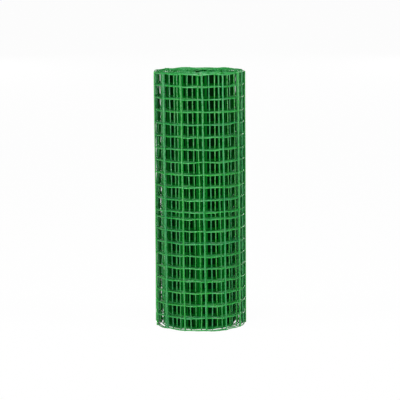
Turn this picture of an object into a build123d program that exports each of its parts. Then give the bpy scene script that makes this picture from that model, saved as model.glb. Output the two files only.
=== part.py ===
"""Roll of coated welded wire fencing, standing on its end.

Millimetres, +Z up, origin at the middle of the roll's foot, front of the roll towards -Y.
The wound mesh is one turned body with its bore. The spiral of its turns is cut into both ends,
and a seam down the back shows where the fence's free end lies.
"""

import os
from math import floor, pi, sqrt

from build123d import *

# The mesh: line wires run along the fence and round the roll, cross wires stand upright
wire_diameter = 5.0  # steel wire with its coat
weld_sink = 0.5  # how far two wires sink into each other at a weld
row_pitch = 50.0  # between line wires
narrow_row_pitch = 27.0  # the one closer pair of line wires near mid-height
rows_below_narrow = 9
rows_above_narrow = 11
cross_wire_stub = 1.5  # cross wire standing past the last line wire

# The winding
mesh_length = 10000.0  # fencing on the roll
bore_diameter = 100.0
winding_slack = 0.7  # free gap between one turn and the next
free_end_angle = 135.0  # degrees from +X, where the free end lies at the back

# The spiral of turns in the roll's ends
groove_depth = 20.0
cut_overrun = 1.0  # how far a cutter stands out of what it cuts

# Sizes that follow from the ones above
mesh_thickness = 2 * wire_diameter - weld_sink
turn_pitch = mesh_thickness + winding_slack
bore_radius = bore_diameter / 2
roll_radius = sqrt(bore_radius**2 + mesh_length * turn_pitch / pi)
mesh_width = (rows_below_narrow + rows_above_narrow) * row_pitch + narrow_row_pitch
roll_height = mesh_width + wire_diameter + 2 * cross_wire_stub
edge_bevel = wire_diameter / 4
groove_width = turn_pitch - wire_diameter
first_groove_radius = roll_radius - mesh_thickness - groove_width / 2
last_groove_radius = bore_radius + wire_diameter + groove_width / 2
half_turn_step = turn_pitch / 2
half_turns = floor((first_groove_radius - last_groove_radius) / half_turn_step)


def turned_body():
    """The whole winding as one revolved ring, its edges eased like the round wire at each end."""
    ring_wall = roll_radius - bore_radius
    section = Pos(bore_radius, 0) * Rectangle(ring_wall, roll_height, align=(Align.MIN, Align.MIN))
    section = chamfer(section.vertices(), edge_bevel)
    return revolve(Plane.XZ * section, Axis.Z)


def half_turn_arcs(offset):
    """Half circles of the spiral, moved out or in by offset, from the outer end to the inner one.

    The half circles have two centres half a turn pitch apart, so each one runs on smoothly
    from the one before and every full turn closes in by one turn pitch.
    """
    arcs = []
    for i in range(half_turns):
        on_second_centre = i % 2 == 1
        centre = (-half_turn_step, 0) if on_second_centre else (0, 0)
        start_angle = 180 if on_second_centre else 0
        radius = first_groove_radius - i * half_turn_step + offset
        arcs.append(CenterArc(centre, radius, start_angle, 180))
    return arcs


def spiral_cutter():
    """The gap that winds between the turns, as a solid standing on z = 0."""
    outer_arcs = half_turn_arcs(groove_width / 2)
    inner_arcs = half_turn_arcs(-groove_width / 2)
    outer_cap = Line(outer_arcs[0] @ 0, inner_arcs[0] @ 0)
    inner_cap = Line(outer_arcs[-1] @ 1, inner_arcs[-1] @ 1)
    outline = make_face([*outer_arcs, *inner_arcs, outer_cap, inner_cap])
    return extrude(outline, groove_depth + cut_overrun)


def free_end_seam():
    """The break in the outermost turn where the free end lies, over the whole height."""
    depth = roll_radius + cut_overrun - first_groove_radius
    corner = (Align.MIN, Align.MIN, Align.CENTER)
    seam = Box(depth, groove_width, roll_height + 2 * cut_overrun, align=corner)
    return Pos(first_groove_radius, 0, roll_height / 2) * seam


def fence_roll():
    """The turned body with the spiral of its turns in the foot and the top, and the seam."""
    foot_spiral = Pos(0, 0, -cut_overrun) * spiral_cutter()
    top_spiral = Pos(0, 0, roll_height - groove_depth) * spiral_cutter()
    cuts = foot_spiral + top_spiral + free_end_seam()
    return turned_body() - Rot(0, 0, free_end_angle) * cuts


os.makedirs("parts", exist_ok=True)
roll = fence_roll()
export_step(roll, "parts/fence_roll.step")
turns = (roll_radius - bore_radius) / turn_pitch
print(f"roll diameter {2 * roll_radius:.1f}, height {roll_height:.1f}, bore {bore_diameter:.1f}")
print(f"turns {turns:.2f}, solids {len(roll.solids())}, volume {roll.volume:.0f}, valid {roll.is_valid}")
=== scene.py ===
"""Roll of green coated welded wire fencing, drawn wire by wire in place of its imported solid."""

import logging
import math
from dataclasses import dataclass, field
from enum import Enum
from typing import Any

import bpy
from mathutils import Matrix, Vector


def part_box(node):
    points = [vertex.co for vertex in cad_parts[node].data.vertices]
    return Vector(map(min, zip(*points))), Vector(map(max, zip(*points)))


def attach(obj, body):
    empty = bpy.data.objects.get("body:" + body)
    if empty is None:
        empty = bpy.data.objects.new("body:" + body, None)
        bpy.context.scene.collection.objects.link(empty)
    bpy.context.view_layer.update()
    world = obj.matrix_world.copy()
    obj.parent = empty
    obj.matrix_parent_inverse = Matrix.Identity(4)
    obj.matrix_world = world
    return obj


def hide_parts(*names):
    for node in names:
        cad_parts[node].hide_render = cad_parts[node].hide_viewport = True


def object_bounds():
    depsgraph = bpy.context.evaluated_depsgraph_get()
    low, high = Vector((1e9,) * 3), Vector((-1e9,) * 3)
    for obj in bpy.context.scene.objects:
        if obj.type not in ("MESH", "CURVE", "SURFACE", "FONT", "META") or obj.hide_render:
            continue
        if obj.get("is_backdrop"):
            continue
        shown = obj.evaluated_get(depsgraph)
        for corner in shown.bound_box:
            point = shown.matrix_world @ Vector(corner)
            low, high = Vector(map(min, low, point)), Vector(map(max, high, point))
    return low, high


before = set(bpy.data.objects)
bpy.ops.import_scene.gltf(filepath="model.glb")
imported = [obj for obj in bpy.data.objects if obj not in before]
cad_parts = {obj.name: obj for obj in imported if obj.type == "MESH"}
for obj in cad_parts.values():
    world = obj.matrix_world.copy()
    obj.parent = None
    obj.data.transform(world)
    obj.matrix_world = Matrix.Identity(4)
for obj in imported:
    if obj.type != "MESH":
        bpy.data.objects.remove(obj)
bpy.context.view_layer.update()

LOG = logging.getLogger("fence_roll")
MM = 0.001
FULL_TURN = 2 * math.pi
UP = (0.0, 0.0, 1.0)
LEVEL = (1.0, 1.0, 0.0)
ROLL_NODE = "fence_roll"
BODY = "root"
WOUND = "wound"
SHADE = "shade"

# A noise texture mostly keeps within a third of its middle, so a gain brings it to about 1 each way.
NOISE_MIDDLE = 0.5
PATCH_GAIN = 4.0
SAG_GAIN = 3.0

Socket = bpy.types.NodeSocket
Tree = bpy.types.NodeTree


def linear_colour(hex_code: str) -> tuple[float, float, float, float]:
    """Turn an sRGB hex colour into the linear colour that shaders take.

    Args:
        hex_code: Colour as "#rrggbb".

    Returns:
        Red, green, blue and a full alpha.
    """
    parts = [int(hex_code[i : i + 2], 16) / 255 for i in (1, 3, 5)]
    red, green, blue = [c / 12.92 if c <= 0.04045 else ((c + 0.055) / 1.055) ** 2.4 for c in parts]
    return red, green, blue, 1.0


def add_node(
    tree: Tree, kind: str, inputs: dict[int | str, Any] | None = None, **settings: Any
) -> bpy.types.Node:
    """Add one node to a tree, with its settings and its inputs.

    Args:
        tree: The tree that takes the node.
        kind: Blender's type name of the node.
        inputs: For each input, by name or number, a value or the socket that feeds it.
        **settings: The node's own properties.

    Returns:
        The new node.
    """
    node = tree.nodes.new(kind)
    for name, value in settings.items():
        setattr(node, name, value)
    for key, value in (inputs or {}).items():
        if isinstance(value, Socket):
            tree.links.new(value, node.inputs[key])
        else:
            node.inputs[key].default_value = value
    return node


def calculate(tree: Tree, operation: str, *terms: Any) -> Socket:
    """The result of one sum in a tree, from numbers or sockets."""
    return add_node(tree, "ShaderNodeMath", dict(enumerate(terms)), operation=operation).outputs[0]


def spread(
    tree: Tree, value: Socket, first: Any, last: Any, at_first: float = 0.0, at_last: float = 1.0
) -> Socket:
    """A number taken from one range to another, and held at its ends."""
    ends = {0: value, 1: first, 2: last, 3: at_first, 4: at_last}
    return add_node(tree, "ShaderNodeMapRange", ends).outputs[0]


def noise(tree: Tree, place: Socket, scale: Any, detail: float) -> bpy.types.bpy_prop_collection:
    """The outputs of a noise texture: its strength first, then its colour."""
    inputs = {"Vector": place, "Scale": scale, "Detail": detail}
    return add_node(tree, "ShaderNodeTexNoise", inputs).outputs


def mixed(tree: Tree, share: Socket, first: Any, second: Any) -> Socket:
    """A colour between two others."""
    return add_node(tree, "ShaderNodeMix", {0: share, 6: first, 7: second}, data_type="RGBA").outputs[2]


def blank_material(name: str) -> bpy.types.Material:
    """Start a material with an empty tree.

    Args:
        name: The material's name.

    Returns:
        The material.
    """
    made = bpy.data.materials.new(name)
    made.use_nodes = True
    made.node_tree.nodes.clear()
    return made


@dataclass(frozen=True)
class Nest:
    """Where further cross wires stand in the winding.

    A wire is left out where it faces the front by more than the share open_front.
    """

    first_turn: float
    turns: float
    spacing: float
    unevenness: float
    open_front: float


class NestZone(Enum):
    """The stretches of the winding that have further cross wires."""

    EDGE = Nest(first_turn=0.58, turns=0.15, spacing=22.0 * MM, unevenness=12.0 * MM, open_front=0.1)
    SIDES = Nest(first_turn=1.0, turns=3.45, spacing=24.0 * MM, unevenness=11.0 * MM, open_front=0.25)
    BORE = Nest(first_turn=11.2, turns=2.15, spacing=15.0 * MM, unevenness=6.0 * MM, open_front=1.0)


class RowGroup(Enum):
    """The line wires on each side of the narrow row."""

    LOWER = "lower"
    UPPER = "upper"


@dataclass(frozen=True)
class FenceMesh:
    """Sizes of the welded mesh and of its winding.

    Those that the solid has too are the same there, but the line wires are thinner, as in the photo.
    """

    roll_radius: float
    roll_height: float
    wire_diameter: float = 5.0 * MM
    line_wire_diameter: float = 4.3 * MM
    weld_sink: float = 0.5 * MM
    row_pitch: float = 50.0 * MM
    narrow_row_pitch: float = 27.0 * MM
    rows_below_narrow: int = 9
    rows_above_narrow: int = 11
    cross_wire_stub: float = 1.5 * MM
    cross_wire_pitch: float = 86.25 * MM
    first_cross_wire: float = 18.5 * MM
    bore_radius: float = 50.0 * MM
    turn_pitch: float = 10.2 * MM
    free_end_angle: float = math.radians(135)

    @property
    def wire_radius(self) -> float:
        """Radius of the wire with its coat."""
        return self.wire_diameter / 2

    @property
    def cross_radius(self) -> float:
        """Radius of the winding at the cross wires' middle, at the free end."""
        return self.roll_radius - self.wire_radius

    @property
    def line_radius(self) -> float:
        """Radius of the winding at the line wires' middle, at the free end."""
        return self.cross_radius - self.wire_diameter + self.weld_sink

    @property
    def turns(self) -> float:
        """Turns from the free end to the bore."""
        return (self.line_radius - self.wire_radius - self.bore_radius) / self.turn_pitch

    def rows(self, group: RowGroup) -> tuple[float, int]:
        """Where a group of line wires starts.

        Args:
            group: Which side of the narrow row.

        Returns:
            Height of the group's lowest line wire, and how many there are.
        """
        lowest = self.cross_wire_stub + self.wire_radius
        if group is RowGroup.LOWER:
            return lowest, self.rows_below_narrow + 1
        narrow_row_top = self.rows_below_narrow * self.row_pitch + self.narrow_row_pitch
        return lowest + narrow_row_top, self.rows_above_narrow + 1


@dataclass(frozen=True)
class ExtrudedPvcCoat:
    """Soft plastic coat drawn over galvanised wire.

    Smooth and half glossy, so each round wire carries a thin bright line along its lit side.
    The colour drifts a little from wire to wire, from yellow green to blue green. Wires that stand
    deep in the turns get a deeper green with less gloss: painted shade from the turns before them.
    Thin dust pales the coat in patches, more on upward faces, where the paler tops are also a painted
    highlight from above.
    A pair of numbers is the start and the end of a range.
    """

    name: str = "extruded_green_pvc_coat"
    # These two deepest greens and their tone are painted shade for wires deep in the turns.
    painted_shade_green: str = "#034A0F"
    painted_deep_shade_green: str = "#046414"
    painted_shade_tone: float = 0.03
    blue_green: str = "#07803E"
    blue_tone: float = 0.25
    mid_green: str = "#10862C"
    mid_tone: float = 0.5
    yellow_green: str = "#1A9426"
    yellow_tone: float = 0.75
    drift_size: float = 90.0 * MM
    # Pale green of thin dust, which on upward faces is also a painted highlight from above.
    dust_and_highlight: str = "#60B48C"
    dust_and_highlight_slopes: tuple[float, float] = (0.1, 0.9)
    dust_and_highlight_on_slopes: tuple[float, float] = (0.16, 0.4)
    dust_contrast: tuple[float, float] = (0.4, 0.7)
    scuff_size: float = 14.0 * MM
    scuff_contrast: tuple[float, float] = (0.3, 0.75)
    roughness: tuple[float, float] = (0.22, 0.4)
    specular: tuple[float, float] = (0.05, 0.5)
    glossy_tone: float = 0.3
    skin_size: float = 1.6 * MM
    skin_height: float = 0.08 * MM
    skin_strength: float = 0.5

    def greens(self, tree: Tree, tone: Socket) -> Socket:
        """Colour the coat by its tone.

        Args:
            tree: The material's tree.
            tone: How light the wire is at the point.

        Returns:
            The socket with the green.
        """
        ramp = add_node(tree, "ShaderNodeValToRGB", {0: tone})
        stops = ramp.color_ramp.elements
        stops[0].color = linear_colour(self.painted_shade_green)
        stops[1].position = self.yellow_tone
        stops[1].color = linear_colour(self.yellow_green)
        stops.new(self.painted_shade_tone).color = linear_colour(self.painted_deep_shade_green)
        stops.new(self.blue_tone).color = linear_colour(self.blue_green)
        stops.new(self.mid_tone).color = linear_colour(self.mid_green)
        return ramp.outputs[0]

    def material(self) -> bpy.types.Material:
        """Build the coat.

        Returns:
            The material.
        """
        made = blank_material(self.name)
        tree = made.node_tree
        place = add_node(tree, "ShaderNodeTexCoord").outputs["Object"]
        wire_shade = add_node(tree, "ShaderNodeAttribute", attribute_name=SHADE).outputs["Fac"]
        drift = noise(tree, place, 1 / self.drift_size, 2.0)[0]
        tone = calculate(tree, "MULTIPLY", calculate(tree, "ADD", wire_shade, drift), 0.5)
        scuff = noise(tree, place, 1 / self.scuff_size, 4.0)[0]
        facing = add_node(tree, "ShaderNodeNewGeometry").outputs["Normal"]
        upward = add_node(tree, "ShaderNodeSeparateXYZ", {0: facing}).outputs["Z"]
        # Upward faces turn paler: partly dust, partly a painted highlight from above.
        dust_and_highlight_by_slope = spread(tree, upward, *self.dust_and_highlight_slopes, *self.dust_and_highlight_on_slopes)
        dust_and_highlight_share = calculate(tree, "MULTIPLY", dust_and_highlight_by_slope, spread(tree, scuff, *self.dust_contrast))
        skin = noise(tree, place, 1 / self.skin_size, 1.0)[0]
        relief = {"Height": skin, "Strength": self.skin_strength, "Distance": self.skin_height}
        shader = add_node(
            tree,
            "ShaderNodeBsdfPrincipled",
            {
                "Base Color": mixed(tree, dust_and_highlight_share, self.greens(tree, tone), linear_colour(self.dust_and_highlight)),
                "Roughness": spread(tree, scuff, *self.scuff_contrast, *self.roughness),
                # Deep tones carry little gloss: painted shade where the turns before them keep the lamps
                # off.
                "Specular IOR Level": spread(tree, tone, 0.0, self.glossy_tone, *self.specular),
                "Normal": add_node(tree, "ShaderNodeBump", relief).outputs[0],
            },
        )
        add_node(tree, "ShaderNodeOutputMaterial", {"Surface": shader.outputs[0]})
        return made


@dataclass(frozen=True)
class PaintedShadeOfPackedWires:
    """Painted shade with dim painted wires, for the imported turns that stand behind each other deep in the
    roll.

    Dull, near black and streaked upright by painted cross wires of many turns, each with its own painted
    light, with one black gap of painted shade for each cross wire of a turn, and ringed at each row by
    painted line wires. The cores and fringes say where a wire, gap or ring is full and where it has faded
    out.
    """

    mesh: FenceMesh
    radius: float
    name: str = "packed_coated_wires_in_shade"
    # Near black of the painted shade, and green of the dim painted wires.
    black: str = "#021E07"
    green: str = "#0C7A24"
    spacing: float = 11.0 * MM
    unevenness: float = 0.8
    wire_core: float = 0.6
    wire_fringe: float = 1.3
    dimmest_painted_wire: float = 0.3
    gap_spacing: float = math.radians(37)
    gap_start: float = math.radians(-70)
    gap_core: float = 0.09
    gap_fringe: float = 0.2
    ring_height: float = 9.0 * MM
    ring_fringe: float = 1.4
    painted_ring_light: float = 0.4
    roughness: float = 0.9
    relief_strength: float = 0.6

    def uprights(self, tree: Tree, angle: Socket) -> Socket:
        """Paint dim cross wires, unevenly spaced, each with its own painted light.

        Args:
            tree: The material's tree.
            angle: Angle of the point round the roll.

        Returns:
            The socket with how bright the point is.
        """
        along = calculate(tree, "MULTIPLY", angle, self.radius / self.spacing)
        cell = add_node(
            tree,
            "ShaderNodeTexVoronoi",
            {"W": along, "Scale": 1.0, "Randomness": self.unevenness},
            voronoi_dimensions="1D",
        ).outputs
        half_width = self.mesh.wire_radius / self.spacing
        core = half_width * self.wire_core
        fringe = half_width * self.wire_fringe
        wire = spread(tree, cell["Distance"], core, fringe, 1.0, 0.0)
        # Painted light: each painted wire gets its own brightness.
        lit = spread(tree, cell["Color"], 0.0, 1.0, self.dimmest_painted_wire, 1.0)
        return calculate(tree, "MULTIPLY", wire, lit)

    def gaps(self, tree: Tree, angle: Socket) -> Socket:
        """Paint a black gap of shade for each cross wire of a turn.

        Args:
            tree: The material's tree.
            angle: Angle of the point round the roll.

        Returns:
            The socket that is 0 in a gap and 1 beside it.
        """
        start = 0.5 - self.gap_start / self.gap_spacing
        turned = calculate(tree, "MULTIPLY_ADD", angle, 1 / self.gap_spacing, start)
        share = calculate(tree, "FRACT", turned)
        off_gap = calculate(tree, "ABSOLUTE", calculate(tree, "SUBTRACT", share, 0.5))
        return spread(tree, off_gap, self.gap_core, self.gap_fringe)

    def rings(self, tree: Tree, height: Socket) -> Socket:
        """Paint dim line wires of the turns behind, lit by painted light.

        Args:
            tree: The material's tree.
            height: Height of the point.

        Returns:
            The socket with how bright the point is.
        """
        pitch = self.mesh.row_pitch
        lower, _ = self.mesh.rows(RowGroup.LOWER)
        upper, _ = self.mesh.rows(RowGroup.UPPER)
        above = calculate(tree, "GREATER_THAN", height, upper - self.mesh.narrow_row_pitch / 2)
        shift = calculate(tree, "MULTIPLY_ADD", above, (lower - upper) / pitch, -lower / pitch)
        share = calculate(tree, "FRACT", calculate(tree, "MULTIPLY_ADD", height, 1 / pitch, shift))
        ring = self.ring_height / pitch
        return spread(tree, share, ring, ring * self.ring_fringe, self.painted_ring_light, 0.0)

    def material(self) -> bpy.types.Material:
        """Build the finish.

        Returns:
            The material.
        """
        made = blank_material(self.name)
        tree = made.node_tree
        place = add_node(tree, "ShaderNodeTexCoord").outputs["Object"]
        parts = add_node(tree, "ShaderNodeSeparateXYZ", {0: place}).outputs
        angle = calculate(tree, "ARCTAN2", parts["Y"], parts["X"])
        wires = self.uprights(tree, angle)
        standing = calculate(tree, "MULTIPLY", wires, self.gaps(tree, angle))
        # Painted wires and rings of painted light over the near-black painted shade.
        light = calculate(tree, "MAXIMUM", standing, self.rings(tree, parts["Z"]))
        relief = {"Height": wires, "Strength": self.relief_strength, "Distance": self.mesh.wire_radius}
        shader = add_node(
            tree,
            "ShaderNodeBsdfPrincipled",
            {
                "Base Color": mixed(tree, light, linear_colour(self.black), linear_colour(self.green)),
                "Roughness": self.roughness,
                "Specular IOR Level": 0.0,
                "Normal": add_node(tree, "ShaderNodeBump", relief).outputs[0],
            },
        )
        add_node(tree, "ShaderNodeOutputMaterial", {"Surface": shader.outputs[0]})
        return made


@dataclass
class WoundTree:
    """A Geometry Nodes tree for pieces that follow the roll's winding."""

    name: str
    mesh: FenceMesh
    points_a_turn: int = 64
    unevenness: float = 4.5 * MM
    uneven_patch: float = 60.0 * MM
    patch_stretch: float = 0.15
    tightness: float = 3.0
    waviness: float = 2.1 * MM
    wave_length: float = 170.0 * MM
    wave_stretch: tuple[float, float, float] = (4.0, 4.0, 1.0)
    sag: float = 1.2 * MM
    sags_a_turn: float = 5.0
    row_sag: float = 3.2 * MM
    row_sag_patch: float = 50.0 * MM
    end_margin: float = 3.0 * MM
    dent: float = 7.0 * MM
    dent_patch: float = 26.0 * MM
    dent_contrast: tuple[float, float] = (0.42, 0.68)
    dent_reach: float = 45.0 * MM
    foot_lift: float = 4.8 * MM
    foot_reach: float = 40.0 * MM
    lift_from_turn: float = 1.5
    lift_by_turn: float = 1.8
    twist: float = -0.07
    tree: Tree = field(init=False)
    source: bpy.types.Node = field(init=False)
    values: dict[str, Any] = field(init=False, default_factory=dict)

    def __post_init__(self) -> None:
        """Start the tree with the inputs that every wound piece has."""
        self.tree = bpy.data.node_groups.new(self.name, "GeometryNodeTree")
        self.tree.interface.new_socket("Geometry", in_out="OUTPUT", socket_type="NodeSocketGeometry")
        self.source = add_node(self.tree, "NodeGroupInput")
        sizes = {
            "Winding radius": self.mesh.line_radius,
            "Turn pitch": self.mesh.turn_pitch,
            "First turn": 0.0,
            "Turns": self.mesh.turns,
            "Free end angle": self.mesh.free_end_angle,
            "Roll radius": self.mesh.roll_radius,
            "Roll height": self.mesh.roll_height,
            "Unevenness": self.unevenness,
            "Uneven patch": self.uneven_patch,
            "Patch stretch": self.patch_stretch,
            "Waviness": self.waviness,
            "Wave length": self.wave_length,
            "Sag": self.sag,
            "Sags a turn": self.sags_a_turn,
            "Row sag": self.row_sag,
            "Row sag patch": self.row_sag_patch,
            "Row pitch": self.mesh.row_pitch,
            "Lowest middle": self.end_margin,
            "Highest middle": self.mesh.roll_height - self.end_margin,
            "Dent": self.dent,
            "Dent patch": self.dent_patch,
            "Dents from": self.mesh.roll_height - self.dent_reach,
            "Foot lift": self.foot_lift,
            "Foot reach": self.foot_reach,
            "Twist": self.twist,
            "Wire radius": self.mesh.wire_radius,
        }
        for name, value in sizes.items():
            self.add_input(name, value)
        self.add_input("Points a turn", self.points_a_turn, "NodeSocketInt")
        self.add_input("Finish", None, "NodeSocketMaterial")

    def add_input(self, name: str, value: Any, kind: str = "NodeSocketFloat") -> None:
        """Give the tree one named input, and the value that it has on the piece."""
        socket = self.tree.interface.new_socket(name, in_out="INPUT", socket_type=kind)
        self.values[socket.identifier] = value

    def set_input(self, name: str, value: Any) -> None:
        """Change the value that a named input has on the piece."""
        items = self.tree.interface.items_tree
        self.values[next(item.identifier for item in items if item.name == name)] = value

    def given(self, name: str) -> Socket:
        """The socket that carries a named input inside the tree."""
        return self.source.outputs[name]

    def calculate(self, operation: str, *terms: Any) -> Socket:
        """The result of one sum in the tree, from numbers or sockets."""
        return calculate(self.tree, operation, *terms)

    def vector(self, operation: str, *terms: Any) -> Socket:
        """The vector that one sum in the tree gives, from vectors or sockets."""
        inputs = dict(enumerate(terms))
        return add_node(self.tree, "ShaderNodeVectorMath", inputs, operation=operation).outputs[0]

    def scaled(self, vector: Socket, size: Socket) -> Socket:
        """A vector made longer or shorter."""
        inputs = {0: vector, "Scale": size}
        return add_node(self.tree, "ShaderNodeVectorMath", inputs, operation="SCALE").outputs[0]

    def straight_up(self, height: Socket) -> Socket:
        """The vector from the foot up to a height."""
        return add_node(self.tree, "ShaderNodeCombineXYZ", {"Z": height}).outputs[0]

    def turned(self, vector: Socket, angle: Socket) -> Socket:
        """A vector turned round the roll's axis."""
        inputs = {"Vector": vector, "Angle": angle}
        return add_node(self.tree, "ShaderNodeVectorRotate", inputs, rotation_type="Z_AXIS").outputs[0]

    def per_size(self, name: str) -> Socket:
        """The texture scale for a named size."""
        return self.calculate("DIVIDE", 1.0, self.given(name))

    def swing(self, strength: Socket, gain: Any) -> Socket:
        """How far a noise texture's strength is off its middle, times a gain."""
        return self.calculate("MULTIPLY", self.calculate("SUBTRACT", strength, NOISE_MIDDLE), gain)

    def drawn(self, least: Any, most: Any) -> Socket:
        """A number drawn for each point from the piece's seed."""
        inputs = {2: least, 3: most, 8: self.given("Seed")}
        return add_node(self.tree, "FunctionNodeRandomValue", inputs, data_type="FLOAT").outputs[1]

    def wound_angle(self) -> Socket:
        """The angle wound so far that is stored on each point."""
        inputs = {"Name": WOUND}
        return add_node(self.tree, "GeometryNodeInputNamedAttribute", inputs, data_type="FLOAT").outputs[0]

    def moved_to(self, geometry: Socket, place: Socket) -> Socket:
        """Points moved to another place."""
        inputs = {"Geometry": geometry, "Position": place}
        return add_node(self.tree, "GeometryNodeSetPosition", inputs).outputs[0]

    def moved_by(self, geometry: Socket, offset: Socket) -> Socket:
        """Points moved by an offset."""
        inputs = {"Geometry": geometry, "Offset": offset}
        return add_node(self.tree, "GeometryNodeSetPosition", inputs).outputs[0]

    def copies(self, points: Socket, shape: Socket) -> Socket:
        """Instances of a shape, one on each point."""
        inputs = {"Points": points, "Instance": shape}
        return add_node(self.tree, "GeometryNodeInstanceOnPoints", inputs).outputs[0]

    def realized(self, instances: Socket) -> Socket:
        """Instances made into shapes of their own."""
        return add_node(self.tree, "GeometryNodeRealizeInstances", {"Geometry": instances}).outputs[0]

    def store(self, geometry: Socket, name: str, value: Socket) -> Socket:
        """Keep a number on each point under a name.

        Args:
            geometry: What carries the points.
            name: The attribute's name.
            value: The number.

        Returns:
            The geometry with the attribute.
        """
        return add_node(
            self.tree,
            "GeometryNodeStoreNamedAttribute",
            {"Geometry": geometry, "Name": name, "Value": value},
            data_type="FLOAT",
            domain="POINT",
        ).outputs[0]

    def shaded(self, points: Socket, tones: tuple[float, float]) -> Socket:
        """Draw how light each wire is, and keep it on the wire's point.

        Args:
            points: One point for each wire.
            tones: Deepest and lightest tone.

        Returns:
            The points with their shade.
        """
        self.add_input("Deepest tone", tones[0])
        self.add_input("Lightest tone", tones[1])
        shade = self.drawn(self.given("Deepest tone"), self.given("Lightest tone"))
        return self.store(points, SHADE, shade)

    def winding(self) -> Socket:
        """Draw the winding as a curve, from the free end towards the bore.

        The half turns have two centres, half a turn pitch apart, so each runs on from the last.

        Returns:
            The curve, with the angle wound so far stored on its points.
        """
        steps = self.calculate("MULTIPLY", self.given("Turns"), self.given("Points a turn"))
        count = self.calculate("ADD", self.calculate("CEIL", steps), 1.0)
        points = add_node(self.tree, "GeometryNodeMeshLine", {"Count": count}).outputs[0]
        curve = add_node(self.tree, "GeometryNodeMeshToCurve", {"Mesh": points}).outputs[0]
        index = add_node(self.tree, "GeometryNodeInputIndex").outputs[0]
        done = self.calculate("DIVIDE", index, self.given("Points a turn"))
        turn = self.calculate("MINIMUM", done, self.given("Turns"))
        angle = self.calculate("MULTIPLY", self.calculate("ADD", turn, self.given("First turn")), FULL_TURN)
        half_turn = self.calculate("FLOOR", self.calculate("DIVIDE", angle, math.pi))
        odd = self.calculate("FLOORED_MODULO", half_turn, 2.0)
        step = self.calculate("MULTIPLY", self.given("Turn pitch"), 0.5)
        closed_in = self.calculate("MULTIPLY", half_turn, step)
        radius = self.calculate("SUBTRACT", self.given("Winding radius"), closed_in)
        across = self.calculate(
            "SUBTRACT",
            self.calculate("MULTIPLY", radius, self.calculate("COSINE", angle)),
            self.calculate("MULTIPLY", odd, step),
        )
        along = self.calculate("MULTIPLY", radius, self.calculate("SINE", angle))
        flat = add_node(self.tree, "ShaderNodeCombineXYZ", {"X": across, "Y": along}).outputs[0]
        placed = self.moved_to(curve, self.turned(flat, self.given("Free end angle")))
        return self.store(placed, WOUND, angle)

    def uneven(self, geometry: Socket) -> Socket:
        """Make the winding as uneven as a hand-rolled one.

        The inner turns press together and apart in patches, every wire is a little wavy round
        the roll, and the whole roll is slightly twisted from foot to top.

        Args:
            geometry: Points on the even winding.

        Returns:
            The moved points.
        """
        place = add_node(self.tree, "GeometryNodeInputPosition").outputs[0]
        height = add_node(self.tree, "ShaderNodeSeparateXYZ", {0: place}).outputs["Z"]
        level = self.vector("MULTIPLY", place, LEVEL)
        looseness = self.looseness(level)
        moved = self.vector("ADD", self.pressed(place, looseness), self.waved(place, level))
        rise = self.calculate("ADD", self.turn_sag(), self.wire_sag(place))
        dent = self.calculate("MULTIPLY", self.top_dent(place, height), looseness)
        bent = self.calculate("SUBTRACT", self.lifted_foot(height), dent)
        bent_height = self.calculate("ADD", self.calculate("ADD", height, rise), bent)
        above_foot = self.calculate("MAXIMUM", bent_height, self.given("Lowest middle"))
        below_top = self.calculate("MINIMUM", above_foot, self.given("Highest middle"))
        there = self.vector("ADD", self.vector("ADD", level, moved), self.straight_up(below_top))
        height_share = self.calculate("DIVIDE", height, self.given("Roll height"))
        from_middle = self.calculate("SUBTRACT", height_share, 0.5)
        twist = self.calculate("MULTIPLY", from_middle, self.given("Twist"))
        return self.moved_to(geometry, self.turned(there, twist))

    def looseness(self, level: Socket) -> Socket:
        """How free a point is to move: not at all on the outside of the roll, and more towards the bore.

        Args:
            level: Position of the point without its height.

        Returns:
            The socket with the freedom, from 0 to 1.
        """
        reach = add_node(
            self.tree, "ShaderNodeVectorMath", {0: level}, operation="LENGTH"
        ).outputs["Value"]
        share = self.calculate("DIVIDE", reach, self.given("Roll radius"))
        held = self.calculate("MINIMUM", self.calculate("POWER", share, self.tightness), 1.0)
        return self.calculate("SUBTRACT", 1.0, held)

    def pressed(self, place: Socket, looseness: Socket) -> Socket:
        """How far the turns are pressed aside, in patches that reach over several turns.

        Args:
            place: Position of the point.
            looseness: How free the point is to move.

        Returns:
            The socket with the way sideways.
        """
        stretch = add_node(
            self.tree, "ShaderNodeCombineXYZ", {"X": 1.0, "Y": 1.0, "Z": self.given("Patch stretch")}
        ).outputs[0]
        tall = self.vector("MULTIPLY", place, stretch)
        patches = noise(self.tree, tall, self.per_size("Uneven patch"), 1.0)[1]
        centred = self.vector("SUBTRACT", patches, (NOISE_MIDDLE, NOISE_MIDDLE, NOISE_MIDDLE))
        sideways = self.vector("MULTIPLY", centred, LEVEL)
        most = self.calculate("MULTIPLY", self.given("Unevenness"), PATCH_GAIN)
        return self.scaled(sideways, self.calculate("MULTIPLY", most, looseness))

    def waved(self, place: Socket, level: Socket) -> Socket:
        """How far the wires wave round the roll.

        Args:
            place: Position of the point.
            level: The same without its height.

        Returns:
            The socket with the way round the roll.
        """
        stretched = self.vector("MULTIPLY", place, self.wave_stretch)
        wave = noise(self.tree, stretched, self.per_size("Wave length"), 1.0)[0]
        most = self.calculate("MULTIPLY", self.given("Waviness"), PATCH_GAIN)
        round_the_roll = self.vector("CROSS_PRODUCT", UP, self.vector("NORMALIZE", level))
        return self.scaled(round_the_roll, self.swing(wave, most))

    def turn_sag(self) -> Socket:
        """How far the mesh stands above or below its even height, along the winding.

        Returns:
            The socket with the height.
        """
        rise = add_node(
            self.tree,
            "ShaderNodeTexNoise",
            {
                "W": self.calculate("DIVIDE", self.wound_angle(), FULL_TURN),
                "Scale": self.given("Sags a turn"),
                "Detail": 0.0,
            },
            noise_dimensions="1D",
        ).outputs[0]
        not_below = self.calculate("MAXIMUM", self.swing(rise, SAG_GAIN), -1.0)
        return self.calculate("MULTIPLY", self.calculate("MINIMUM", not_below, 1.0), self.given("Sag"))

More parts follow.
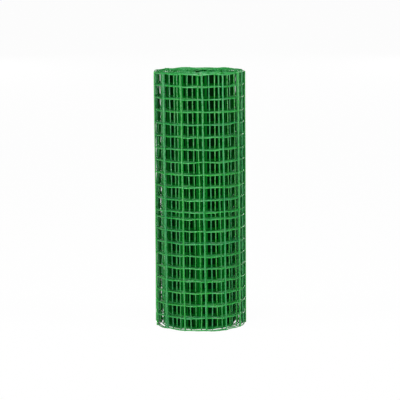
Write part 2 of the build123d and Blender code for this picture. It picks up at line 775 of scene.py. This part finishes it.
    def wire_sag(self, place: Socket) -> Socket:
        """How far a line wire bends up or down along its way."""
        bend = noise(self.tree, place, self.per_size("Row sag patch"), 0.0)[0]
        return self.calculate("MULTIPLY", self.swing(bend, SAG_GAIN), self.given("Row sag"))

    def top_dent(self, place: Socket, height: Socket) -> Socket:
        """How far the wires at the top end are bent down in patches.

        Args:
            place: Position of the point.
            height: Its height.

        Returns:
            The socket with the depth.
        """
        patches = noise(self.tree, place, self.per_size("Dent patch"), 1.0)[0]
        bent = spread(self.tree, patches, *self.dent_contrast)
        depth = self.calculate("MULTIPLY", bent, self.given("Dent"))
        at_top = spread(self.tree, height, self.given("Dents from"), self.given("Highest middle"))
        return self.calculate("MULTIPLY", depth, at_top)

    def lifted_foot(self, height: Socket) -> Socket:
        """How far the lowest line wire of the inner turns stands above the outermost turn's.

        Args:
            height: Height of the point.

        Returns:
            The socket with the lift.
        """
        start = self.lift_from_turn * FULL_TURN
        end = self.lift_by_turn * FULL_TURN
        inner = spread(self.tree, self.wound_angle(), start, end)
        lift = self.calculate("MULTIPLY", inner, self.given("Foot lift"))
        at_foot = spread(self.tree, height, 0.0, self.given("Foot reach"), 1.0, 0.0)
        return self.calculate("MULTIPLY", lift, at_foot)

    def as_wire(self, curve: Socket, sides: int) -> Socket:
        """Give a curve the round section of the wire.

        Args:
            curve: The wires' middle lines.
            sides: Flats round the section.

        Returns:
            The wires as a mesh.
        """
        section = add_node(
            self.tree,
            "GeometryNodeCurvePrimitiveCircle",
            {"Resolution": sides, "Radius": self.given("Wire radius")},
        ).outputs[0]
        return add_node(
            self.tree,
            "GeometryNodeCurveToMesh",
            {"Curve": curve, "Profile Curve": section, "Fill Caps": True},
        ).outputs[0]

    def finish(self, geometry: Socket, smooth: bool = True) -> None:
        """Realize what is left of instances, set the finish and end the tree.

        Args:
            geometry: The piece's mesh.
            smooth: Whether its faces shade as one round surface.
        """
        shaded = add_node(
            self.tree,
            "GeometryNodeSetShadeSmooth",
            {"Geometry": self.realized(geometry), "Shade Smooth": smooth},
        ).outputs[0]
        dressed = add_node(
            self.tree, "GeometryNodeSetMaterial", {"Geometry": shaded, "Material": self.given("Finish")}
        ).outputs[0]
        add_node(self.tree, "NodeGroupOutput", {0: dressed})

    def piece(self, finish: bpy.types.Material) -> bpy.types.Object:
        """Run the tree and keep its result as a plain mesh.

        Args:
            finish: The piece's material.

        Returns:
            The finished object, at the origin.
        """
        self.set_input("Finish", finish)
        made = bpy.data.objects.new(self.name, bpy.data.meshes.new(self.name + "_start"))
        bpy.context.scene.collection.objects.link(made)
        modifier = made.modifiers.new(self.name, "NODES")
        modifier.node_group = self.tree
        for identifier, value in self.values.items():
            modifier[identifier] = value
        result = made.evaluated_get(bpy.context.evaluated_depsgraph_get())
        plain = bpy.data.meshes.new_from_object(result)
        plain.name = self.name
        made.modifiers.clear()
        made.data = plain
        return made


def row_points(wound: WoundTree, group: RowGroup) -> Socket:
    """Mark the height of each line wire of a group.

    Args:
        wound: The tree to add to.
        group: Which line wires.

    Returns:
        One point for each, on the roll's axis.
    """
    lowest, count = wound.mesh.rows(group)
    wound.add_input("Lowest row", lowest)
    wound.add_input("Rows", count, "NodeSocketInt")
    return add_node(
        wound.tree,
        "GeometryNodeMeshLine",
        {
            "Count": wound.given("Rows"),
            "Start Location": wound.straight_up(wound.given("Lowest row")),
            "Offset": wound.straight_up(wound.given("Row pitch")),
        },
    ).outputs[0]


@dataclass(frozen=True)
class LineWires:
    """The wires that run along the fence, and so wind round the roll, one for each row."""

    mesh: FenceMesh
    group: RowGroup
    sides: int = 8
    tones: tuple[float, float] = (0.25, 0.75)
    seed: int = 11

    def build(self, finish: bpy.types.Material) -> bpy.types.Object:
        """Wind one group of line wires.

        Args:
            finish: The wires' material.

        Returns:
            The piece.
        """
        wound = WoundTree(f"line_wires_{self.group.value}", self.mesh)
        wound.set_input("Wire radius", self.mesh.line_wire_diameter / 2)
        wound.add_input("Seed", self.seed, "NodeSocketInt")
        rows = wound.shaded(row_points(wound, self.group), self.tones)
        lines = wound.realized(wound.copies(rows, wound.winding()))
        wound.finish(wound.as_wire(wound.uneven(lines), self.sides))
        return wound.piece(finish)


def cross_wire_points(
    wound: WoundTree, seed: int, shuffle: float = 0.0, tones: tuple[float, float] = (0.0, 1.0)
) -> tuple[Socket, Socket]:
    """Mark where each cross wire meets the winding.

    Args:
        wound: The tree to add to.
        seed: Start of the random draw of each wire's shade and shift.
        shuffle: How far a wire may be shifted along the winding.
        tones: Deepest and lightest tone of a wire.

    Returns:
        One point for each cross wire, and the direction of the winding there.
    """
    wound.set_input("Winding radius", wound.mesh.cross_radius)
    wound.add_input("Cross wire pitch", wound.mesh.cross_wire_pitch)
    wound.add_input("First cross wire", wound.mesh.first_cross_wire)
    wound.add_input("Seed", seed, "NodeSocketInt")
    wound.add_input("Shuffle", shuffle)
    tree = wound.tree
    curve = wound.winding()
    length = add_node(tree, "GeometryNodeCurveLength", {"Curve": curve}).outputs[0]
    left = wound.calculate("SUBTRACT", length, wound.given("First cross wire"))
    gaps = wound.calculate("FLOOR", wound.calculate("DIVIDE", left, wound.given("Cross wire pitch")))
    count = wound.calculate("ADD", gaps, 1.0)
    points = add_node(tree, "GeometryNodePoints", {"Count": count}).outputs[0]
    index = add_node(tree, "GeometryNodeInputIndex").outputs[0]
    even = wound.calculate(
        "MULTIPLY_ADD", index, wound.given("Cross wire pitch"), wound.given("First cross wire")
    )
    far = wound.calculate("MULTIPLY_ADD", wound.drawn(-1.0, 1.0), wound.given("Shuffle"), even)
    sample = add_node(
        tree,
        "GeometryNodeSampleCurve",
        {"Curves": curve, "Value": wound.wound_angle(), "Length": far},
        mode="LENGTH",
        use_all_curves=True,
        data_type="FLOAT",
    ).outputs
    placed = wound.store(wound.moved_to(points, sample["Position"]), WOUND, sample["Value"])
    return wound.shaded(placed, tones), sample["Tangent"]


def upright_wires(wound: WoundTree, points: Socket, end_gap: float, bends: int) -> Socket:
    """Stand a wire's middle line on each point, from foot to top.

    Args:
        wound: The tree to add to.
        points: Where the wires stand.
        end_gap: How far a wire ends short of the roll's ends.
        bends: Points along each wire.

    Returns:
        The middle lines.
    """
    wound.set_input("Foot lift", 0.0)
    wound.add_input("Foot end", end_gap)
    wound.add_input("Top end", wound.mesh.roll_height - end_gap)
    ends = {
        "Start": wound.straight_up(wound.given("Foot end")),
        "End": wound.straight_up(wound.given("Top end")),
    }
    straight = add_node(wound.tree, "GeometryNodeCurvePrimitiveLine", ends).outputs[0]
    upright = add_node(
        wound.tree, "GeometryNodeResampleCurve", {"Curve": straight, "Count": bends}
    ).outputs[0]
    return wound.realized(wound.copies(points, upright))


@dataclass(frozen=True)
class CrossWires:
    """The upright wires, welded to the outside of the line wires."""

    mesh: FenceMesh
    sides: int = 10
    bends: int = 24
    end_gap: float = 2.5 * MM
    seed: int = 4

    def build(self, finish: bpy.types.Material) -> bpy.types.Object:
        """Stand the cross wires round the winding.

        Args:
            finish: The wires' material.

        Returns:
            The piece.
        """
        wound = WoundTree("cross_wires", self.mesh)
        points, _ = cross_wire_points(wound, self.seed)
        lines = upright_wires(wound, points, self.end_gap, self.bends)
        wound.finish(wound.as_wire(wound.uneven(lines), self.sides))
        return wound.piece(finish)


@dataclass(frozen=True)
class WeldBeads:
    """The coat's thickened beads where a cross wire is welded to a line wire."""

    mesh: FenceMesh
    group: RowGroup
    bead_radius: float = 2.9 * MM
    sides: int = 8
    rings: int = 5
    seed: int = 4

    def build(self, finish: bpy.types.Material) -> bpy.types.Object:
        """Set a bead on every crossing of one group of line wires.

        Args:
            finish: The beads' material.

        Returns:
            The piece.
        """
        wound = WoundTree(f"weld_beads_{self.group.value}", self.mesh)
        points, forward = cross_wire_points(wound, self.seed)
        wound.add_input("Bead radius", self.bead_radius)
        wound.add_input("Weld depth", (self.mesh.wire_diameter - self.mesh.weld_sink) / 2)
        inward = wound.vector("CROSS_PRODUCT", UP, forward)
        at_weld = wound.moved_by(points, wound.scaled(inward, wound.given("Weld depth")))
        crossings = wound.realized(wound.copies(at_weld, row_points(wound, self.group)))
        bead = add_node(
            wound.tree,
            "GeometryNodeMeshUVSphere",
            {"Segments": self.sides, "Rings": self.rings, "Radius": wound.given("Bead radius")},
        ).outputs[0]
        wound.finish(wound.copies(wound.uneven(crossings), bead))
        return wound.piece(finish)


@dataclass(frozen=True)
class NestedWires:
    """More cross wires in the turns at the roll's sides and back, and round its bore.

    There the photo shows the wires standing closer than one turn behind another would bring them.
    Their deeper tone is painted shade, for the shade of the turns before them.
    """

    mesh: FenceMesh
    zone: NestZone
    shuffle: float = 0.4
    sides: int = 8
    bends: int = 48
    end_gap: float = 2.5 * MM
    patch_stretch: float = 0.8
    # Deep tones: painted shade from the turns before these wires.
    tones: tuple[float, float] = (-0.6, 0.3)
    seed: int = 9

    def build(self, finish: bpy.types.Material) -> bpy.types.Object:
        """Stand the nested wires between the cross wires of the turns.

        Args:
            finish: The wires' material.

        Returns:
            The piece.
        """
        nest = self.zone.value
        wound = WoundTree(f"nested_wires_{self.zone.name.lower()}", self.mesh)
        points, _ = cross_wire_points(wound, self.seed, self.shuffle * nest.spacing, self.tones)
        wound.set_input("First turn", nest.first_turn)
        wound.set_input("Turns", nest.turns)
        wound.set_input("Cross wire pitch", nest.spacing)
        wound.set_input("Unevenness", nest.unevenness)
        wound.set_input("Patch stretch", self.patch_stretch)
        wound.add_input("Open front", -nest.open_front)
        kept = self.behind_the_front(wound, points)
        lines = upright_wires(wound, kept, self.end_gap, self.bends)
        wound.finish(wound.as_wire(wound.uneven(lines), self.sides))
        return wound.piece(finish)

    def behind_the_front(self, wound: WoundTree, points: Socket) -> Socket:
        """Leave out the wires that would close the front.

        Args:
            wound: The tree to add to.
            points: Where wires could stand.

        Returns:
            The points that are kept.
        """
        place = add_node(wound.tree, "GeometryNodeInputPosition").outputs[0]
        facing = wound.vector("NORMALIZE", place)
        back = add_node(wound.tree, "ShaderNodeSeparateXYZ", {0: facing}).outputs["Y"]
        in_front = add_node(
            wound.tree,
            "FunctionNodeCompare",
            {0: back, 1: wound.given("Open front")},
            data_type="FLOAT",
            operation="LESS_THAN",
        ).outputs[0]
        inputs = {"Geometry": points, "Selection": in_front}
        return add_node(wound.tree, "GeometryNodeDeleteGeometry", inputs, domain="POINT").outputs[0]


@dataclass(frozen=True)
class PackedTurnsShadeWall:
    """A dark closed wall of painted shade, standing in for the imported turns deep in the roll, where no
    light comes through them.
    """

    mesh: FenceMesh
    turns_before: int = 5
    points: int = 96
    thickness: float = 0.4 * MM
    foot_gap: float = 4.0 * MM
    top_gap: float = 7.0 * MM

    @property
    def radius(self) -> float:
        """Radius of the gap behind the turns that show as wires.

        Returns:
            The radius at the middle of that gap.
        """
        gap = self.mesh.turn_pitch - 2 * self.mesh.wire_diameter + self.mesh.weld_sink
        outermost = self.mesh.line_radius - self.mesh.wire_radius - gap / 2
        return outermost - (self.turns_before - 1) * self.mesh.turn_pitch

    def build(self) -> bpy.types.Object:
        """Stand the closed wall in the gap between two turns.

        Returns:
            The piece.
        """
        height = self.mesh.roll_height - self.foot_gap - self.top_gap
        wound = WoundTree("packed_turns", self.mesh)
        wound.add_input("Wall radius", self.radius)
        wound.add_input("Thickness", self.thickness)
        wound.add_input("Height", height)
        wound.add_input("Middle", self.foot_gap + height / 2)
        circle = add_node(
            wound.tree,
            "GeometryNodeCurvePrimitiveCircle",
            {"Resolution": self.points, "Radius": wound.given("Wall radius")},
        ).outputs[0]
        raised = wound.moved_by(circle, wound.straight_up(wound.given("Middle")))
        section = add_node(
            wound.tree,
            "GeometryNodeCurvePrimitiveQuadrilateral",
            {"Width": wound.given("Thickness"), "Height": wound.given("Height")},
        ).outputs[0]
        wall = add_node(
            wound.tree, "GeometryNodeCurveToMesh", {"Curve": raised, "Profile Curve": section}
        ).outputs[0]
        wound.finish(wall, smooth=False)
        return wound.piece(PaintedShadeOfPackedWires(self.mesh, self.radius).material())


@dataclass(frozen=True)
class MattPaper:
    """White paper rolled out flat, with no gloss.

    It takes the roll's soft shadow, and the camera sees the rest of it nearly white.
    """

    name: str = "matt_white_paper_floor"
    colour: str = "#F7F7F6"
    white: str = "#FFFFFF"
    whiteness: float = 0.97

    def material(self) -> bpy.types.Material:
        """Build the paper.

        Returns:
            The material.
        """
        made = blank_material(self.name)
        tree = made.node_tree
        by_camera = add_node(tree, "ShaderNodeLightPath").outputs["Is Camera Ray"]
        seen = calculate(tree, "MULTIPLY", by_camera, self.whiteness)
        paper = add_node(tree, "ShaderNodeBsdfDiffuse", {"Color": linear_colour(self.colour)}).outputs[0]
        white = add_node(
            tree, "ShaderNodeEmission", {"Color": linear_colour(self.white), "Strength": 1.0}
        ).outputs[0]
        both = add_node(tree, "ShaderNodeMixShader", {0: seen, 1: paper, 2: white}).outputs[0]
        add_node(tree, "ShaderNodeOutputMaterial", {"Surface": both})
        return made


@dataclass(frozen=True)
class SoftBox:
    """One studio lamp, a panel aimed at the middle of the roll, in metres and watts."""

    name: str
    place: tuple[float, float, float]
    power: float
    width: float = 5.0
    height: float = 1.3
    aim: tuple[float, float, float] = (0.0, 0.0, 0.55)

    def build(self) -> None:
        """Hang the lamp, out of the camera's sight."""
        lamp = bpy.data.lights.new(self.name, "AREA")
        lamp.shape = "RECTANGLE"
        lamp.size = self.width
        lamp.size_y = self.height
        lamp.energy = self.power
        made = bpy.data.objects.new(self.name, lamp)
        made.location = self.place
        direction = Vector(self.aim) - Vector(self.place)
        made.rotation_euler = direction.to_track_quat("-Z", "Y").to_euler()
        made.visible_camera = False
        bpy.context.scene.collection.objects.link(made)


@dataclass(frozen=True)
class Studio:
    """Pale floor, soft light and the camera at the photo's viewing angle.

    Wide low lamps light the wires from the front and from behind. Two high ones at the sides and one
    overhead light the tops of the line wires and the roll's top end.
    """

    floor_size: float = 240.0
    backdrop: str = "#FFFFFF"
    soft_light: float = 0.15
    lamps: tuple[SoftBox, ...] = (
        SoftBox("key", (-6.4, -12.2, 1.35), 1270.0),
        SoftBox("fill", (8.2, -10.8, 1.05), 620.0),
        SoftBox("overhead", (0.0, -0.7, 3.2), 38.0, width=0.5, height=0.5),
        SoftBox("high_left", (-6.0, -2.4, 7.5), 280.0, width=2.0, height=2.0),
        SoftBox("high_right", (6.0, -2.4, 7.5), 280.0, width=2.0, height=2.0),
        SoftBox("back_left", (-5.2, 12.6, 1.35), 350.0),
        SoftBox("back_right", (5.2, 12.6, 1.35), 350.0),
    )
    camera_distance: float = 8.097
    camera_height: float = 1.731
    camera_pitch: float = math.radians(8.593)
    camera_roll: float = math.radians(-0.347)
    lens: float = 182.0
    sensor: float = 36.0

    def floor(self) -> None:
        """Lay the floor."""
        half = self.floor_size / 2
        mesh = bpy.data.meshes.new("floor")
        corners = [(-half, -half, 0), (half, -half, 0), (half, half, 0), (-half, half, 0)]
        mesh.from_pydata(corners, [], [(0, 1, 2, 3)])
        made = bpy.data.objects.new("floor", mesh)
        bpy.context.scene.collection.objects.link(made)
        mesh.materials.append(MattPaper().material())
        made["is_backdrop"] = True

    def world(self) -> None:
        """Light the room softly, with a white backdrop behind the roll."""
        made = bpy.data.worlds.new("studio")
        bpy.context.scene.world = made
        made.use_nodes = True
        tree = made.node_tree
        tree.nodes.clear()
        seen = add_node(tree, "ShaderNodeLightPath").outputs["Is Camera Ray"]
        room = {"Color": linear_colour(self.backdrop), "Strength": self.soft_light}
        light = add_node(tree, "ShaderNodeBackground", room).outputs[0]
        white = add_node(tree, "ShaderNodeBackground", {**room, "Strength": 1.0}).outputs[0]
        both = add_node(tree, "ShaderNodeMixShader", {0: seen, 1: light, 2: white}).outputs[0]
        add_node(tree, "ShaderNodeOutputWorld", {"Surface": both})

    def camera(self) -> None:
        """Set up the camera, with the photo's own slight tilt."""
        lens = bpy.data.cameras.new("camera")
        lens.lens = self.lens
        lens.sensor_width = self.sensor
        made = bpy.data.objects.new("camera", lens)
        made.location = (0.0, -self.camera_distance, self.camera_height)
        made.rotation_mode = "ZXY"
        made.rotation_euler = (math.pi / 2 - self.camera_pitch, 0.0, self.camera_roll)
        bpy.context.scene.collection.objects.link(made)
        bpy.context.scene.camera = made

    def build(self) -> None:
        """Put up the whole studio."""
        self.floor()
        self.world()
        for lamp in self.lamps:
            lamp.build()
        self.camera()
        bpy.context.scene.view_settings.view_transform = "Standard"


def report(piece: bpy.types.Object) -> None:
    """Log a piece's name and the triangles in it."""
    piece.data.calc_loop_triangles()
    LOG.info("%s: %d triangles", piece.name, len(piece.data.loop_triangles))


def main() -> None:
    """Build the roll's pieces in order, then the studio."""
    logging.basicConfig(level=logging.INFO, format="%(name)s %(message)s")
    low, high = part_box(ROLL_NODE)
    mesh = FenceMesh(roll_radius=(high.x - low.x) / 2, roll_height=high.z - low.z)
    coat = ExtrudedPvcCoat().material()
    pieces = [LineWires(mesh, group).build(coat) for group in RowGroup]
    pieces.append(CrossWires(mesh).build(coat))
    pieces += [WeldBeads(mesh, group).build(coat) for group in RowGroup]
    pieces += [NestedWires(mesh, zone).build(coat) for zone in NestZone]
    pieces.append(PackedTurnsShadeWall(mesh).build())
    for piece in pieces:
        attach(piece, BODY)
        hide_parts(ROLL_NODE)
        report(piece)
    Studio().build()
    low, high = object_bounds()


if __name__ == "__main__":
    main()
